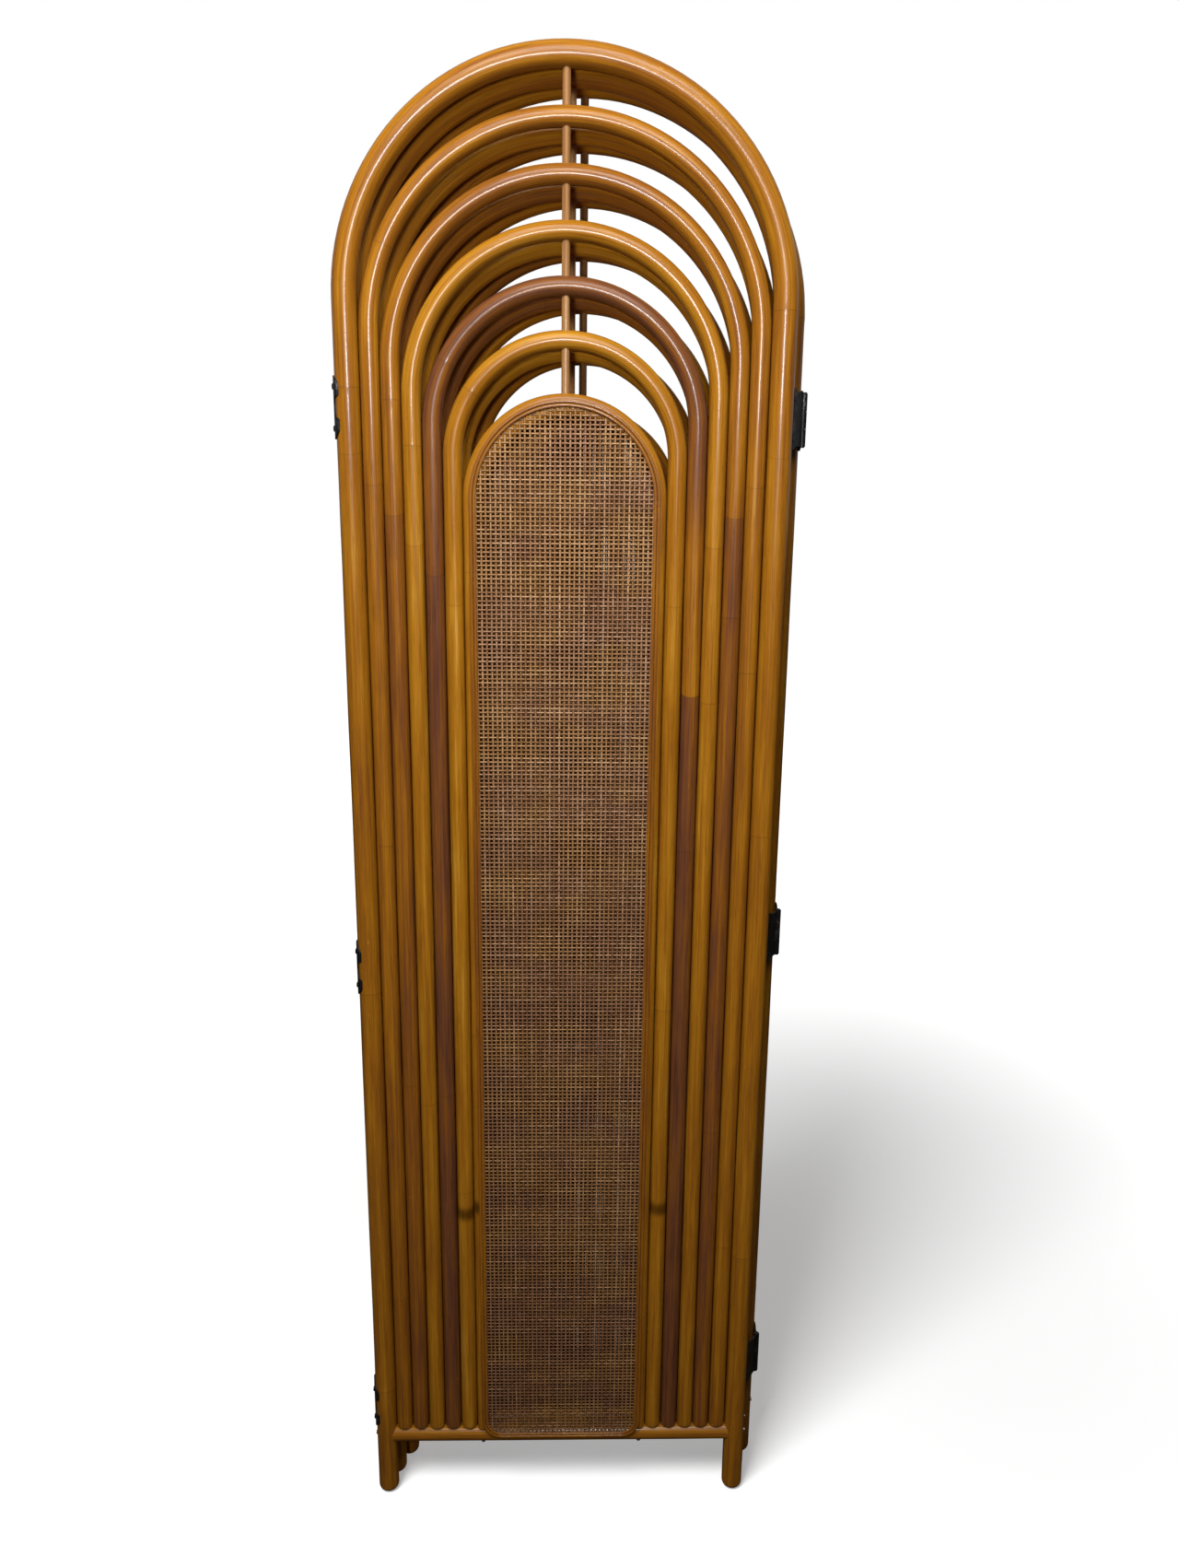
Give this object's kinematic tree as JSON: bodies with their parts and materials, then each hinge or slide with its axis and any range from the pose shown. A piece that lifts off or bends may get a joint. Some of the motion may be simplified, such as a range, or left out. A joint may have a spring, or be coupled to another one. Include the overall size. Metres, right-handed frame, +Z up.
{
  "type": "folding screen",
  "caption": "Arched rattan folding screen: nested bent and spliced poles, crown spindles and cane-webbed inserts, with hinged panels folded flat in a zigzag.",
  "frame": {"origin": "on the floor, under the middle of the folded stack's bounding box", "axes": "+X to the right seen from the front, +Y from the front panel to the back panel, +Z up"},
  "size_m": [0.5082, 0.0898, 1.7118],
  "materials": {
    "rattan_post": "varnished rattan, honey brown",
    "rattan_pole": "varnished rattan, honey to red brown",
    "rattan_rod": "varnished rattan, honey brown",
    "rattan_rail": "varnished rattan, golden brown",
    "rattan_spindle": "varnished rattan core",
    "cane_webbing": "stained woven cane",
    "cane_binding": "glossy split cane",
    "hinge_iron": "black painted steel, worn",
    "screw_steel": "blackened steel",
    "nail_steel": "dull wire nail"
  },
  "bodies": {
    "front_panel": {"front_outer_frame": "rattan_post", "front_arch_2": "rattan_pole", "front_arch_3": "rattan_pole", "front_arch_4": "rattan_pole", "front_arch_5": "rattan_pole", "front_arch_6": "rattan_pole", "front_insert_rod": "rattan_rod", "front_bottom_rail": "rattan_rail", "front_spindles": "rattan_spindle", "front_webbing": "cane_webbing", "front_binding": "cane_binding", "front_rail_nails": "nail_steel", "left_lower_front_leaf": "hinge_iron", "left_lower_pin": "hinge_iron", "left_centre_front_leaf": "hinge_iron", "left_centre_pin": "hinge_iron", "left_upper_front_leaf": "hinge_iron", "left_upper_pin": "hinge_iron", "left_front_screws": "screw_steel"},
    "middle_panel": {"middle_outer_frame": "rattan_post", "middle_arch_2": "rattan_pole", "middle_arch_3": "rattan_pole", "middle_arch_4": "rattan_pole", "middle_arch_5": "rattan_pole", "middle_arch_6": "rattan_pole", "middle_insert_rod": "rattan_rod", "middle_bottom_rail": "rattan_rail", "middle_spindles": "rattan_spindle", "middle_webbing": "cane_webbing", "middle_binding": "cane_binding", "middle_rail_nails": "nail_steel", "left_lower_middle_leaf": "hinge_iron", "right_lower_middle_leaf": "hinge_iron", "right_lower_pin": "hinge_iron", "left_centre_middle_leaf": "hinge_iron", "right_centre_middle_leaf": "hinge_iron", "right_centre_pin": "hinge_iron", "left_upper_middle_leaf": "hinge_iron", "right_upper_middle_leaf": "hinge_iron", "right_upper_pin": "hinge_iron", "left_middle_screws": "screw_steel", "right_middle_screws": "screw_steel"},
    "back_panel": {"back_outer_frame": "rattan_post", "back_arch_2": "rattan_pole", "back_arch_3": "rattan_pole", "back_arch_4": "rattan_pole", "back_arch_5": "rattan_pole", "back_arch_6": "rattan_pole", "back_insert_rod": "rattan_rod", "back_bottom_rail": "rattan_rail", "back_spindles": "rattan_spindle", "back_webbing": "cane_webbing", "back_binding": "cane_binding", "back_rail_nails": "nail_steel", "right_lower_back_leaf": "hinge_iron", "right_centre_back_leaf": "hinge_iron", "right_upper_back_leaf": "hinge_iron", "right_back_screws": "screw_steel"}
  },
  "joints": [
    {"name": "left_hinge", "type": "hinge", "parent": "front_panel", "child": "middle_panel", "pos_m": [-0.2504, -0.0146, 0], "axis": [0, 0, 1], "range_deg": [0, 180]},
    {"name": "right_hinge", "type": "hinge", "parent": "middle_panel", "child": "back_panel", "pos_m": [0.2504, 0.0164, 0], "axis": [0, 0, -1], "range_deg": [0, 180]}
  ]
}
